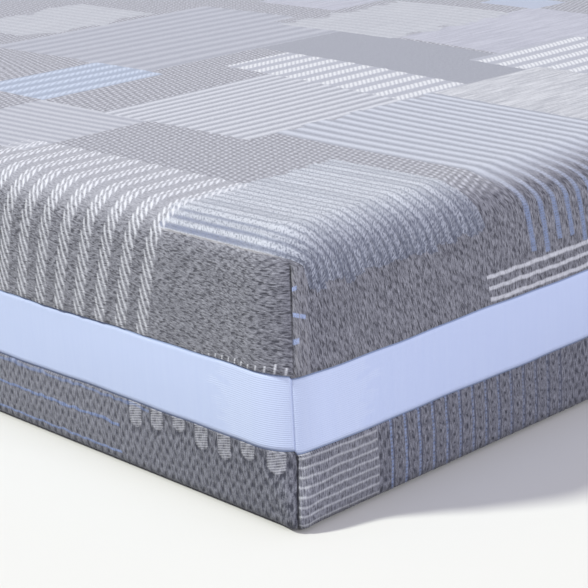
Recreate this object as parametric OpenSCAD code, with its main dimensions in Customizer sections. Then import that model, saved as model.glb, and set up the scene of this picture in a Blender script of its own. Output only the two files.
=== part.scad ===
// Memory foam mattress with a two-tone knitted cover: foam layers in an inner sleeve, inside a cover
// made of an upper cap, a side band and a lower cap, closed by a coil zip across the head end.
// +X is across the bed, +Y towards the head end, +Z up. The underside lies on z = 0.

/* [Mattress] */
// Width across the bed
mattress_w = 1524; // [750:1:2200]
// Length from foot to head
mattress_l = 2032; // [1500:1:2300]
// Radius of the four corners, seen from above
corner_r = 52; // [52:1:120]
// Radius of the rounded edge round the sleeping surface
edge_r = 42; // [15:1:42]
// How far the upper cap leans in between the band and the rounded edge
skirt_lean = 4; // [0:0.5:4]
// Radius of the rounded edge round the underside
foot_r = 10; // [10:1:30]

/* [Foam layers] */
// Height of the firm support core at the bottom
support_h = 127; // [80:1:200]
// Height of the transition foam between the core and the memory foam
transition_h = 51; // [20:1:100]
// Height of the memory foam at the top
memory_h = 68; // [50:1:120]
// Room between the foam's sides and the sleeve
foam_gap = 0.3; // [0.2:0.1:1]
// Thickness of the inner sleeve
sleeve_t = 1; // [0.6:0.1:2]

/* [Cover] */
// Thickness of the knitted upper and lower caps
knit_t = 3; // [2:0.1:5]
// Thickness of the side band's mesh
band_t = 2; // [1:0.1:2]
// Height of the lower cap's side
lower_h = 68; // [50:1:90]
// Height of the side band
band_h = 68; // [40:1:90]
// Radius of the rolled edge where a cap meets the band
roll_r = 1.5; // [0.5:0.1:2]

/* [Seams] */
// Height of the sewn allowance that is turned in behind each seam of the band
allowance_h = 8; // [4:0.5:12]
// Width of the stitched line down each corner, and of the cloth turned in behind it
corner_seam_w = 1.6; // [1:0.1:3]
// Depth that the stitching pulls each corner seam in
corner_seam_depth = 1.2; // [0.5:0.1:1.8]
// Distance from the sleeping surface down to the upper corner seams' ends
upper_seam_drop = 27; // [12:1:60]
// Distance from the underside up to the lower corner seams' ends
lower_seam_rise = 6; // [4:1:20]
// Room between a turned-in allowance and the cloth on either side of it
allowance_gap = 0.3; // [0.2:0.1:0.6]

/* [Zip] */
// Distance from each end of the zip's slot to the corner's curve
zip_end_margin = 10; // [5:1:200]
// Room between the slider and the slot's edges
slot_clear = 1.8; // [0.5:0.1:6]
// Width of the slit between the two rows of the chain
slit_w = 1.2; // [0.8:0.1:2]
// Distance from one tooth to the next
tooth_pitch = 3; // [2:0.1:5]
// Length of a tooth, towards the other row
tooth_l = 1.6; // [1:0.1:2.5]
// Width of the rail that carries the teeth
rail_w = 1.4; // [1:0.1:3]
// Height of the teeth and the rail above the tape
chain_t = 2; // [1.2:0.1:2.5]
// Thickness of the woven tapes
tape_t = 0.8; // [0.4:0.1:1.2]
// Height of the tape that is sewn behind the cloth on each side of the slot
tape_sewn = 9; // [5:1:15]
// Length of tape that runs on past each end of the slot
tape_tail = 6; // [2:1:10]
// Length of the stops at the ends of the chain
stop_l = 3; // [2:0.5:5]
// Height of the stops above the chain
stop_rise = 0.6; // [0.4:0.1:1]
// Distance from each end of the slot to its stop
stop_margin = 3; // [1:0.5:8]

/* [Slider and pull] */
// Length of the slider
slider_l = 12; // [9:0.5:18]
// Thickness of the slider's two plates
plate_t = 1; // [0.8:0.1:1.5]
// Thickness of the side walls that hold the chain in the slider
flange_t = 1.3; // [0.8:0.1:2]
// Width of the post between the slider's plates, at the end that closes the zip
post_w = 0.6; // [0.4:0.1:0.8]
// Length of that post
post_l = 2.5; // [1:0.1:4]
// Radius of the pull's crossbar
bar_r = 0.6; // [0.5:0.05:1]
// Thickness of the bridge that holds the crossbar
bridge_t = 1; // [0.7:0.1:1.5]
// Width of the bridge
bridge_w = 1.6; // [1:0.1:2.5]
// Width of the pull's two arms beside the bridge
arm_w = 1.3; // [0.8:0.1:2]
// Length of the pull from its crossbar to its tip
pull_l = 28; // [16:1:40]
// Width of the pull's grip
pull_w = 8; // [6:0.5:12]
// Running room between the slider, the chain, the tapes and the pull
run_gap = 0.3; // [0.15:0.05:0.4]
// Room between the slider's back plate and the inner sleeve
back_gap = 0.9; // [0.3:0.1:3]

/* [Hidden] */
$fn = 64;

// What the slider's back plate needs behind the tapes sets how loosely the cover hangs on the sleeve.
side_ease = tape_t + run_gap + plate_t + back_gap;
sleeve_side = knit_t + side_ease;
foam_side = sleeve_side + sleeve_t + foam_gap;
foam_end = knit_t + sleeve_t;
mattress_h = 2 * foam_end + support_h + transition_h + memory_h;
band_z = lower_h;
upper_z = lower_h + band_h;
edge_round = min(edge_r, corner_r - skirt_lean - foam_side + foam_end);

slot_l = mattress_w - 2 * (corner_r + zip_end_margin);
row_w = tooth_l + rail_w;
slider_w = slit_w + 2 * (row_w + run_gap + flange_t);
slot_h = slider_w + 2 * slot_clear;
tape_w = (slot_h - slit_w) / 2 + tape_sewn;
tape_l = slot_l + 2 * tape_tail;
chain_l = slot_l - 2 * (stop_margin + stop_l);
slider_x = chain_l / 2 - run_gap - slider_l / 2;
tooth_count = floor(chain_l / tooth_pitch);
// Heights above the head end's face, all counted outwards.
tape_front = -knit_t;
chain_front = tape_front + chain_t;
plate_back = chain_front + run_gap;
plate_front = plate_back + plate_t;
back_plate_front = tape_front - tape_t - run_gap;
bar_out = plate_front + run_gap + bar_r;
bridge_in_r = 2 * (run_gap + bar_r);
bridge_out_r = bridge_in_r + bridge_t;
tiny = 0.01;

knit_color = [0.70, 0.71, 0.76];
lower_color = [0.50, 0.51, 0.56];
band_color = [0.80, 0.84, 0.94];
seam_color = [0.45, 0.46, 0.50];
zip_color = [0.62, 0.64, 0.70];
metal_color = [0.72, 0.73, 0.75];

// ---- The mattress's section -------------------------------------------------------------------

// Where a line from point p touches the circle of radius r round c, on its outer side.
function touch(p, c, r) =
    let (d = p - c, turn = atan2(d[1], d[0]) + acos(r / norm(d)))
    c + r * [cos(turn), sin(turn)];

// The section from a corner's axis outwards, filled: x is the distance from the axis, y the height.
// It is the cover's outline moved in by side at the sides and by end at the top and the bottom.
module section(side = 0, end = 0) {
    wall_x = corner_r - side;
    top_c = [wall_x - edge_round - skirt_lean + end, mattress_h - edge_round];
    foot_c = [wall_x - foot_r + end, foot_r];
    shoulder = touch([wall_x, upper_z], top_c, edge_round - end);
    intersection() {
        translate([0, end]) square([wall_x + tiny, mattress_h - 2 * end]);
        union() {
            polygon([
                [0, end], [foot_c[0], end], [wall_x, foot_r], [wall_x, upper_z],
                shoulder, [top_c[0], mattress_h - end], [0, mattress_h - end]
            ]);
            translate(foot_c) circle(foot_r - end);
            translate(top_c) circle(edge_round - end);
        }
    }
}

// The part of a section between two heights.
module between(low, high) {
    intersection() {
        children();
        translate([0, low]) square([2 * corner_r, high - low]);
    }
}

// Takes a section once round the mattress. Each [low, high] in floors is a flat sheet that fills
// the middle between those heights.
module round_mattress(floors = []) {
    inner_w = mattress_w - 2 * corner_r;
    inner_l = mattress_l - 2 * corner_r;
    for (x = [-1, 1], y = [-1, 1]) {
        translate([x * inner_w / 2, y * inner_l / 2, 0])
            rotate([0, 0, atan2(y, x) - 45]) rotate_extrude(angle = 90) children();
    }
    for (side = [0, 180]) {
        rotate([0, 0, side]) translate([inner_w / 2, inner_l / 2, 0])
            rotate([90, 0, 0]) linear_extrude(inner_l) children();
        rotate([0, 0, side + 90]) translate([inner_l / 2, inner_w / 2, 0])
            rotate([90, 0, 0]) linear_extrude(inner_w) children();
    }
    for (f = floors) {
        translate([-inner_w / 2, -inner_l / 2, f[0]]) cube([inner_w, inner_l, f[1] - f[0]]);
    }
}

// Stands a section up across each of the four corners, as a thin wall of the given thickness.
module across_corners(thickness) {
    for (x = [-1, 1], y = [-1, 1]) {
        translate([x * (mattress_w / 2 - corner_r), y * (mattress_l / 2 - corner_r), 0])
            rotate([0, 0, atan2(y, x)]) rotate([90, 0, 0])
                translate([0, 0, -thickness / 2]) linear_extrude(thickness) children();
    }
}

// ---- The cover --------------------------------------------------------------------------------

// The cloth of both caps: everything within knit_t of the outline.
module knit_section() {
    difference() {
        section();
        section(knit_t, knit_t);
    }
}

// Rounds a cap's outer edge at a seam: up is 1 where the cloth lies above the seam, -1 below it.
module rolled_edge(z, up) {
    difference() {
        translate([corner_r - roll_r, z - tiny * up]) mirror([0, up > 0 ? 0 : 1])
            square([roll_r + 1, roll_r + tiny]);
        translate([corner_r - roll_r, z + roll_r * up]) circle(roll_r);
    }
}

// The line that the stitching pulls into each corner between two heights.
module corner_lines(low, high) {
    across_corners(corner_seam_w) between(low, high) {
        difference() {
            section(-1, -1);
            section(corner_seam_depth, corner_seam_depth);
        }
    }
}

// The slot for the zip, across the head end between the lower cap and the band.
module zip_slot() {
    translate([-slot_l / 2, mattress_l / 2 - corner_r, band_z - slot_h / 2])
        cube([slot_l, 2 * corner_r, slot_h]);
}

module upper_cover() {
    color(knit_color) difference() {
        round_mattress([[mattress_h - knit_t, mattress_h]]) difference() {
            between(upper_z, mattress_h) knit_section();
            rolled_edge(upper_z, 1);
        }
        corner_lines(upper_z - 1, mattress_h - upper_seam_drop);
    }
}

// The band's inner face lines up with the caps', so its outer face lies back behind their edges.
module side_band() {
    color(band_color) difference() {
        round_mattress() translate([corner_r - knit_t, band_z]) square([band_t, band_h]);
        across_corners(corner_seam_w / 2) translate([corner_r - knit_t + band_t / 2, band_z - 1])
            square([band_t, band_h + 2]);
        zip_slot();
    }
}

module lower_cover() {
    color(lower_color) difference() {
        round_mattress([[0, knit_t]]) difference() {
            between(0, band_z) knit_section();
            rolled_edge(band_z, -1);
        }
        corner_lines(lower_seam_rise, band_z + 1);
        zip_slot();
    }
}

// ---- The seams inside the cover ---------------------------------------------------------------

// Cloth turned in behind a seam: it fills the room between the cover and the sleeve.
module allowance(low, high) {
    between(low, high) difference() {
        section(knit_t + allowance_gap, knit_t + allowance_gap);
        section(sleeve_side - allowance_gap, knit_t);
    }
}

module upper_corner_seams() {
    color(seam_color) across_corners(corner_seam_w)
        allowance(upper_z, mattress_h - upper_seam_drop);
}

module band_corner_seams() {
    color(seam_color) across_corners(corner_seam_w)
        allowance(band_z + allowance_h, upper_z - allowance_h);
}

module lower_corner_seams() {
    color(seam_color) across_corners(corner_seam_w) allowance(foot_r, band_z);
}

module upper_band_seam() {
    color(seam_color) round_mattress() allowance(upper_z - allowance_h, upper_z);
}

// The lower seam stops either side of the zip's tapes.
module lower_band_seam() {
    gap_l = tape_l + 2 * allowance_gap;
    color(seam_color) difference() {
        round_mattress() allowance(band_z, band_z + allowance_h);
        translate([-gap_l / 2, mattress_l / 2 - corner_r, band_z - 1])
            cube([gap_l, corner_r, allowance_h + 2]);
    }
}

// ---- Inside the cover -------------------------------------------------------------------------

module fire_sleeve() {
    color("white") round_mattress([
        [knit_t, foam_end],
        [mattress_h - foam_end, mattress_h - knit_t]
    ]) difference() {
        section(sleeve_side, knit_t);
        section(sleeve_side + sleeve_t, foam_end);
    }
}

// One layer of foam between two heights, shaped by the sleeve round it.
module foam_layer(low, height) {
    round_mattress([[low, low + height]])
        between(low, low + height) section(foam_side, foam_end);
}

module support_core() {
    color("lightsteelblue") foam_layer(foam_end, support_h);
}

module transition_foam() {
    color("aliceblue") foam_layer(foam_end + support_h, transition_h);
}

module memory_foam() {
    color("ivory") foam_layer(foam_end + support_h + transition_h, memory_h);
}

// ---- The zip ----------------------------------------------------------------------------------

// Puts the zip at the middle of its slot: x along it, y outwards from the head end's face, z up.
module at_zip() {
    translate([0, mattress_l / 2, band_z]) children();
}

// A flat shape drawn in x and z, standing from one depth out to another.
module plate(from, to) {
    translate([0, to, 0]) rotate([90, 0, 0]) linear_extrude(to - from) children();
}

module zip_tape() {
    plate(tape_front - tape_t, tape_front)
        translate([-tape_l / 2, slit_w / 2]) square([tape_l, tape_w]);
}

// One row of the chain: a rail sewn along its tape, and teeth that widen towards the slit.
module chain_row() {
    root = tooth_pitch / 4;
    head = tooth_pitch / 3;
    start = -tooth_count * tooth_pitch / 2;
    root_z = slit_w / 2 + tooth_l;
    teeth = [
        for (i = [0 : tooth_count - 1])
            let (x = start + (i + 0.5) * tooth_pitch)
            each [[x - root, root_z], [x - head, slit_w / 2], [x + head, slit_w / 2], [x + root, root_z]]
    ];
    plate(tape_front, chain_front) polygon(concat(
        [[start, root_z]], teeth,
        [[-start, root_z], [-start, root_z + rail_w], [start, root_z + rail_w]]
    ));
}

module zip_tape_upper() {
    color(zip_color) at_zip() zip_tape();
}

module zip_tape_lower() {
    color(zip_color) at_zip() mirror([0, 0, 1]) zip_tape();
}

module zip_coil_upper() {
    color(zip_color) at_zip() chain_row();
}

module zip_coil_lower() {
    color(zip_color) at_zip() mirror([0, 0, 1]) chain_row();
}

// A stop clipped over the chain, from the given height above the slit's middle.
module zip_stop(low) {
    plate(tape_front, chain_front + stop_rise)
        translate([chain_l / 2, low]) square([stop_l, slit_w / 2 + row_w - low]);
}

module zip_top_stops() {
    color(metal_color) at_zip() for (side = [0, 1]) {
        mirror([0, 0, side]) zip_stop(slit_w / 2);
    }
}

// The bottom stop ties both rows together.
module zip_bottom_stop() {
    color(metal_color) at_zip() mirror([1, 0, 0]) {
        zip_stop(0);
        mirror([0, 0, 1]) zip_stop(0);
    }
}

// The outline of the slider's plates, broad at the end that closes the zip.
module slider_outline() {
    shoulder_r = slider_w / 5;
    tail_r = slider_w / 3;
    hull() {
        for (side = [-1, 1]) {
            translate([slider_l / 2 - shoulder_r, side * (slider_w / 2 - shoulder_r)])
                circle(shoulder_r);
            translate([-slider_l / 6, side * (slider_w / 2 - tiny)]) circle(tiny);
        }
        translate([tail_r - slider_l / 2, 0]) circle(tail_r);
    }
}

module zip_slider() {
    wall_z = slit_w / 2 + row_w + run_gap;
    color(metal_color) at_zip() translate([slider_x, 0, 0]) {
        plate(plate_back, plate_front) slider_outline();
        plate(back_plate_front - plate_t, back_plate_front) slider_outline();
        plate(back_plate_front - tiny, plate_back + tiny)
            translate([slider_l / 2 - post_l - slider_w / 10, -post_w / 2]) square([post_l, post_w]);
        plate(tape_front + run_gap, plate_back + tiny) intersection() {
            slider_outline();
            for (side = [-1, 1]) {
                translate([-slider_l / 2, side * (wall_z + flange_t / 2) - flange_t / 2])
                    square([slider_l, flange_t]);
            }
        }
        slider_bridge();
    }
}

// The bridge arches along the slider over the pull's crossbar.
module slider_bridge() {
    translate([0, plate_front, -bridge_w / 2]) linear_extrude(bridge_w) difference() {
        circle(bridge_out_r);
        circle(bridge_in_r);
        translate([-bridge_out_r, -2 * bridge_out_r - plate_t / 2])
            square([2 * bridge_out_r, 2 * bridge_out_r]);
    }
}

// The pull lies back over the closed chain. Its crossbar runs up and down, under the bridge.
module zip_pull() {
    inner_w = bridge_w + 2 * run_gap;
    outer_w = inner_w + 2 * arm_w;
    window_l = bridge_out_r + run_gap;
    tip_r = pull_w / 2;
    color(metal_color) at_zip() translate([slider_x, bar_out, 0]) {
        translate([0, 0, -outer_w / 2]) cylinder(h = outer_w, r = bar_r);
        plate(-bar_r, bar_r) difference() {
            union() {
                translate([-window_l - arm_w, -outer_w / 2]) square([window_l + arm_w, outer_w]);
                hull() {
                    translate([-window_l - arm_w / 2, 0]) square([arm_w, outer_w], center = true);
                    translate([tip_r - pull_l, 0]) circle(tip_r);
                }
            }
            translate([-window_l, -inner_w / 2]) square([window_l + 1, inner_w]);
            translate([tip_r - pull_l, 0]) circle(tip_r / 2);
        }
    }
}

upper_cover();
side_band();
lower_cover();
upper_corner_seams();
band_corner_seams();
lower_corner_seams();
upper_band_seam();
lower_band_seam();
fire_sleeve();
memory_foam();
transition_foam();
support_core();
zip_tape_upper();
zip_tape_lower();
zip_coil_upper();
zip_coil_lower();
zip_top_stops();
zip_bottom_stop();
zip_slider();
zip_pull();
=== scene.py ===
import math

import bpy
import numpy as np
from mathutils import Matrix, Vector


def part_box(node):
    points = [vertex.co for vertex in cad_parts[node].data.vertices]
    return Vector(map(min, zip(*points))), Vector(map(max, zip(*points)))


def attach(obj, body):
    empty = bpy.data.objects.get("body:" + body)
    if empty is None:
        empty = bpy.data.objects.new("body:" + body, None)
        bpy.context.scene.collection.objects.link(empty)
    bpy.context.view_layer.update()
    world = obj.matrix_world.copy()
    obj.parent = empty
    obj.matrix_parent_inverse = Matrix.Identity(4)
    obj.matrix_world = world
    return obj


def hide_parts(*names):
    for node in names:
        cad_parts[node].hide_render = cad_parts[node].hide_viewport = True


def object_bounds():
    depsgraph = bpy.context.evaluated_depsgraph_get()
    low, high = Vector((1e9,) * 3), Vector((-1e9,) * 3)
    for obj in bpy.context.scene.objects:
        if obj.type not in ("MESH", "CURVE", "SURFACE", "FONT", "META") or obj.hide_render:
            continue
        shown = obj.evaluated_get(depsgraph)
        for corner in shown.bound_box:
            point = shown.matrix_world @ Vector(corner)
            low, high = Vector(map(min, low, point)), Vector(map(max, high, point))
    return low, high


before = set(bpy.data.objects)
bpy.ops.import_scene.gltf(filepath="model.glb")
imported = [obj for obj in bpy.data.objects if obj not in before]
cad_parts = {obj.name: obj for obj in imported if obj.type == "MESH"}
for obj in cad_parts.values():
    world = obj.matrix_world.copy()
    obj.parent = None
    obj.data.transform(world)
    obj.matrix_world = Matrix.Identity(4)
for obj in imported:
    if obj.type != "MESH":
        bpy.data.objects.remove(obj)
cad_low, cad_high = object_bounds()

# ---- Support core ----
# The firm slab of open-cell foam that carries the bed. It is cut from a block, with its corners
# rounded to the cover's shape, and lies loose in the sleeve under the softer layers.

MM = 0.001
M_TO_MM = 1000

band_low, band_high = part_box("side_band")
HALF_W = cad_high.x * M_TO_MM
HALF_L = -cad_low.y * M_TO_MM
HEIGHT = cad_high.z * M_TO_MM
LOWER_SEAM = band_low.z * M_TO_MM
UPPER_SEAM = band_high.z * M_TO_MM
CORNER_R = 52
EDGE_R = 42
SKIRT_LEAN = 4
FOOT_R = 10
INNER_X, INNER_Y = INNER = np.array([HALF_W, HALF_L]) - CORNER_R
CORNERS = np.array([(-1, -1), (1, -1), (1, 1), (-1, 1)])
SIDE_TURN = np.radians([-90, 0, 90, 180])
SIDE_OUT = np.array([(0, -1), (1, 0), (0, 1), (-1, 0)])
SIDE_ALONG = np.roll(SIDE_OUT, -1, 0)
FOAM_SIDE, FOAM_END = 7.3, 4


class Wire:
    """A value on its way through a finish. Sums and products of wires add Math nodes."""

    def __init__(self, finish, socket):
        self.finish, self.socket = finish, socket

    def math(self, operation, *others, **settings):
        values = dict(enumerate([self, *others]))
        return self.finish.node("Math", {"operation": operation, **settings}, values)

    def __add__(self, other):
        return self.math("ADD", other)

    def __sub__(self, other):
        return self.math("SUBTRACT", other)

    def __rsub__(self, other):
        return self.math("MULTIPLY_ADD", -1, other)

    def __mul__(self, other):
        return self.math("MULTIPLY", other)

    def __truediv__(self, other):
        return self.math("DIVIDE", other)

    __radd__ = __add__
    __rmul__ = __mul__

    def __abs__(self):
        return self.math("ABSOLUTE")

    def clamp(self):
        return self.math("ADD", 0, use_clamp=True)

    def luck(self):
        """A number from 0 to 1, drawn once for each whole step."""
        steps = {"W": self.math("FLOOR")}
        return self.finish.node("TexWhiteNoise", {"noise_dimensions": "1D"}, steps)

    def wave(self, length):
        """Rises and falls between -1 and 1, once every length."""
        return (self * (2 * math.pi / length)).math("COSINE")

    def within(self, low, high):
        """1 between low and high, and 0 elsewhere."""
        return self.math("COMPARE", (low + high) / 2, (high - low) / 2)

    def line(self, middle, pitch, width, soft):
        """Lines every pitch, one of them at middle: 1 on a line and 0 between, with soft edges."""
        off = abs((self - middle).math("WRAP", pitch / 2, -pitch / 2))
        return off.math("MULTIPLY_ADD", -1 / soft, width / (2 * soft) + 0.5, use_clamp=True)

    def spot(self, middle, half, soft=1):
        """1 within half of middle, and 0 from soft beyond it."""
        return abs(self - middle).math("MULTIPLY_ADD", -1 / soft, half / soft + 1, use_clamp=True)


class Finish:
    """One finish of the mattress: a material and the nodes that mix it."""

    def __init__(self, name):
        self.material = bpy.data.materials.new(name)
        self.material.use_nodes = True
        self.tree = self.material.node_tree
        self.tree.nodes.clear()

    def node(self, kind, settings=None, inputs=None, out=0):
        """Adds a node with its settings, and a wire, value or colour for each input."""
        made = self.tree.nodes.new("ShaderNode" + kind)
        for name, value in (settings or {}).items():
            setattr(made, name, value)
        for name, value in (inputs or {}).items():
            if isinstance(value, Wire):
                self.tree.links.new(value.socket, made.inputs[name])
            else:
                made.inputs[name].default_value = (*value, 1) if isinstance(value, tuple) else value
        return Wire(self, made.outputs[out]) if made.outputs else None

    def place(self, uv_map=None):
        """Where a point lies, in mm: on the named map of the cloth, or in the room."""
        at = self.node("UVMap", {"uv_map": uv_map}) if uv_map else self.node("TexCoord", out="Object")
        return [self.node("SeparateXYZ", inputs={0: at}, out=i) * M_TO_MM for i in range(3)]

    def noise(self, x, y, z=0, detail=1, rough=0.5):
        """Soft noise about one unit across, from 0 to 1."""
        at = self.node("CombineXYZ", inputs={0: x, 1: y, 2: z})
        return self.node("TexNoise", inputs={"Vector": at, "Scale": 1, "Detail": detail, "Roughness": rough})

    def mix(self, share, a, b, way="MIX"):
        """Colour a where share is 0 or less, and b, or a shaded by b, where it is 1 or more."""
        settings = {"data_type": "RGBA", "blend_type": way}
        return self.node("Mix", settings, {0: share, 6: a, 7: b}, out=2)

    def lay(self, colour, *yarns):
        """The colour with yarns laid over it in turn. Each is its share and its colour."""
        for share, yarn in yarns:
            colour = self.mix(share, colour, yarn)
        return colour

    def end(self, colour, relief_mm, rough=0.85, shine=0.2, **fixed):
        """Ends the finish in a shader with relief in mm. Fixed values go on its sockets."""
        bump = self.node("Bump", inputs={"Distance": MM, "Height": relief_mm})
        inputs = {"Base Color": colour, "Normal": bump, "Roughness": rough, "Specular IOR Level": shine}
        inputs |= {name.replace("_", " "): value for name, value in fixed.items()}
        self.node("OutputMaterial", inputs={0: self.node("BsdfPrincipled", inputs=inputs)})
        return self.material


def around(turn):
    """The way out at each angle."""
    return np.stack([np.cos(turn), np.sin(turn)], 1)


def outline(side=0, end=0):
    """The mattress's section moved in by side and end, from the flat top's edge down to the flat
    foot's. Each point is (distance from the corner's axis, height)."""
    wall = CORNER_R - side
    top_c = np.array([wall - EDGE_R - SKIRT_LEAN + end, HEIGHT - EDGE_R])
    foot_c = np.array([wall - FOOT_R + end, FOOT_R])
    hip = np.array([wall, UPPER_SEAM])
    away = hip - top_c
    touch = math.atan2(away[1], away[0]) + math.acos((EDGE_R - end) / np.hypot(*away))
    top_turn = np.linspace(math.pi / 2, touch, 60)
    foot_turn = np.linspace(0, -math.pi / 2, 30)
    return np.concatenate([top_c + (EDGE_R - end) * around(top_turn), [hip, (wall, LOWER_SEAM)],
                           foot_c + (FOOT_R - end) * around(foot_turn)])


def at_height(line, z):
    """How far out a downward line is at a height."""
    return np.interp(-z, -line[:, 1], line[:, 0])


def between(line, high, low):
    """The part of a downward line between two heights, with a point at both."""
    keep = line[(line[:, 1] < high - 0.01) & (line[:, 1] > low + 0.01)]
    return np.concatenate([[(at_height(line, high), high)], keep, [(at_height(line, low), low)]])


def spaced(line, count):
    """A line's points, set anew at equal steps along it, with how far along each one is."""
    along = np.concatenate([[0], np.cumsum(np.hypot(*np.diff(line, axis=0).T))])
    at = np.linspace(0, along[-1], count + 1)
    return np.column_stack([*(np.interp(at, along, values) for values in line.T), at])


class Ring:
    """Columns of points once round the mattress: each has an anchor on the rectangle between the
    corners' axes, and an angle that says which way is out."""

    def __init__(self, count_x, count_y, fan):
        columns = []
        self.count_x, self.count_y = count_x, count_y
        for side in range(4):
            start, end = CORNERS[side] * INNER, CORNERS[(side + 1) % 4] * INNER
            count = (count_x, count_y)[side % 2]
            columns += [(*(start + (end - start) * i / count), SIDE_TURN[side], self.on_grid(side, i), side)
                        for i in range(count + 1)]
            columns += [(*end, SIDE_TURN[side] + math.radians(45 + turn), self.on_grid(side, count),
                         (side + (turn >= 0)) % 4) for turn in fan]
        columns = np.array(columns)
        self.anchor, self.turn, self.size = columns[:, :2], columns[:, 2], len(columns)
        self.root, self.strip = columns[:, 3:].astype(int).T
        self.out, self.along = around(self.turn), around(self.turn + math.pi / 2)

    def on_grid(self, side, i):
        """The number of the flat middle's point at step i along a side."""
        row = self.count_x + 1
        return (i, self.count_x + i * row, self.count_y * row + self.count_x - i,
                (self.count_y - i) * row)[side]

    def among(self, finer):
        """Where each of this ring's columns stands in a finer ring."""
        own, among = ([(*np.round(a, 3), round(t, 5)) for a, t in zip(ring.anchor, ring.turn)]
                      for ring in (self, finer))
        return np.array([among.index(key) for key in own])


def on_plan(along, out, side):
    """Points across and along the bed, from how far along a side and how far out they lie."""
    return along[..., None] * SIDE_ALONG[side] + out[..., None] * SIDE_OUT[side]


scene = bpy.context.scene


def set_down(name, data):
    """Puts a new object in the scene."""
    made = bpy.data.objects.new(name, data)
    scene.collection.objects.link(made)
    return made


def smooth_piece(name, points, faces):
    """A new smooth-shaded object from points in mm and faces."""
    mesh = bpy.data.meshes.new(name)
    mesh.from_pydata(points * MM, [], faces, shade_flat=False)
    return set_down(name, mesh)


class Panel:
    """A piece of cloth or foam: points in mm, with their places on the flat cloth, and faces, each
    with the side of the mattress that it lies on."""

    def __init__(self):
        self.rows, self.faces, self.side, self.count = [], [], [], 0

    def add(self, points, anchor, turn, rho, reach):
        self.rows.append(np.column_stack([points, anchor, turn, rho, reach]))
        self.count += len(points)
        return np.arange(self.count - len(points), self.count)

    def row(self, ring, rho, z, reach):
        """A ring of points. The distance out and height are one value, or one per column."""
        rho, z, reach = (np.broadcast_to(v, ring.size).astype(float) for v in (rho, z, reach))
        points = np.column_stack([ring.anchor + ring.out * rho[:, None], z])
        return self.add(points, ring.anchor, ring.turn, rho, reach)

    def middle(self, ring, z):
        """The points of the flat middle, and the numbers of those at its edge, column by column."""
        x = np.linspace(-INNER_X, INNER_X, ring.count_x + 1)
        y = np.linspace(-INNER_Y, INNER_Y, ring.count_y + 1)
        flat = np.stack(np.meshgrid(x, y), -1).reshape(-1, 2)
        none = np.zeros(len(flat))
        ids = self.add(np.column_stack([flat, none + z]), flat, none, none, none)
        return ids, ids[ring.root]

    def fill(self, ring, ids, upward):
        """Faces over the flat middle."""
        grid = ids.reshape(-1, ring.count_x + 1)
        quads = np.stack([grid[:-1, :-1], grid[:-1, 1:], grid[1:, 1:], grid[1:, :-1]], -1).reshape(-1, 4)
        self.close(quads, np.zeros(len(quads), int), not upward)

    def close(self, faces, side, flip):
        """Adds faces with their sides."""
        self.faces.append(faces[:, ::-1] if flip else faces)
        self.side.append(side)

    def join(self, ring, rows, flip=False):
        """Faces from each row to the next. Where a row comes to one point, they are triangles."""
        for inner, outer in zip(rows, rows[1:]):
            corners = np.column_stack([inner, outer, np.roll(outer, -1), np.roll(inner, -1)])
            start, end = corners[:, 0] == corners[:, 3], corners[:, 1] == corners[:, 2]
            for use, keep in ((~start & ~end, [0, 1, 2, 3]), (start, [0, 1, 2]), (end, [0, 1, 3])):
                if use.any():
                    self.close(corners[use][:, keep], ring.strip[use], flip)

    def skin(self, line, inward=False):
        """A closed skin over a section, all in coarse columns."""
        rows = [self.row(coarse, rho, z, reach) for rho, z, reach in line]
        top, top_edge = self.middle(coarse, line[0, 1])
        foot, foot_edge = self.middle(coarse, line[-1, 1])
        self.join(coarse, [top_edge, *rows, foot_edge], inward)
        self.fill(coarse, top, not inward)
        self.fill(coarse, foot, inward)

    def thin_out(self, fine_row, coarse_row, flip=False):
        """Faces from a finely divided row on to a coarse one."""
        at, by_length = coarse.among(fine), {}
        for i in range(coarse.size):
            j = (i + 1) % coarse.size
            run = np.arange(at[i], at[j] + (1 if at[j] > at[i] else 1 + fine.size)) % fine.size
            ends = [coarse_row[j]] if coarse_row[i] == coarse_row[j] else [coarse_row[j], coarse_row[i]]
            face = [*fine_row[run], *ends][::-1]
            by_length.setdefault(len(face), []).append((face, coarse.strip[i]))
        for group in by_length.values():
            faces, sides = zip(*group)
            self.close(np.array(faces), np.array(sides), flip)

    def gather(self):
        """Puts the points together, once all are in."""
        table = np.concatenate(self.rows)
        self.points, self.anchor = table[:, :3], table[:, 3:5]
        self.turn, self.rho, self.reach = table[:, 5:].T

    def laid_flat(self, ids, side):
        """Where points lie along a side's flap and out from the middle, laid flat."""
        bend = (self.turn[ids] - SIDE_TURN[side] + math.pi) % (2 * math.pi) - math.pi
        along = (self.anchor[ids] * SIDE_ALONG[side]).sum(-1) + self.rho[ids] * bend
        return along, (self.anchor[ids] * SIDE_OUT[side]).sum(-1) + self.reach[ids]

    def to_seam(self, ids, side):
        """The distance to the nearest corner seam, below 0 at the head and foot."""
        along, _ = self.laid_flat(ids, side)
        half = np.where(side % 2 == 0, INNER_X, INNER_Y) + self.rho[ids] * math.pi / 4
        return (half - np.abs(along)) * np.where(side % 2 == 0, -1, 1)

    def on_cloth(self, ids, side):
        """Where points lie on the flat cloth, in mm."""
        return on_plan(*self.laid_flat(ids, side), side)

    def sew(self, name, maps=None):
        """Makes the piece. Each map is a function of points' numbers and their faces' sides."""
        piece = smooth_piece(name, self.points, [face for group in self.faces for face in group.tolist()])
        for map_name, place in (maps or {}).items():
            layer = piece.data.uv_layers.new(name=map_name)
            spots = [place(f, np.repeat(s[:, None], f.shape[1], 1)) for f, s in zip(self.faces, self.side)]
            flat = np.concatenate([s.reshape(-1, 2) for s in spots])
            layer.data.foreach_set("uv", flat.astype(np.float32).ravel())
        return piece


def dress(piece, material, node):
    """Gives a piece its finish, and lets it stand for its CAD node."""
    piece.data.materials.append(material)
    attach(piece, "mattress")
    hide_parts(node)


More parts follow.
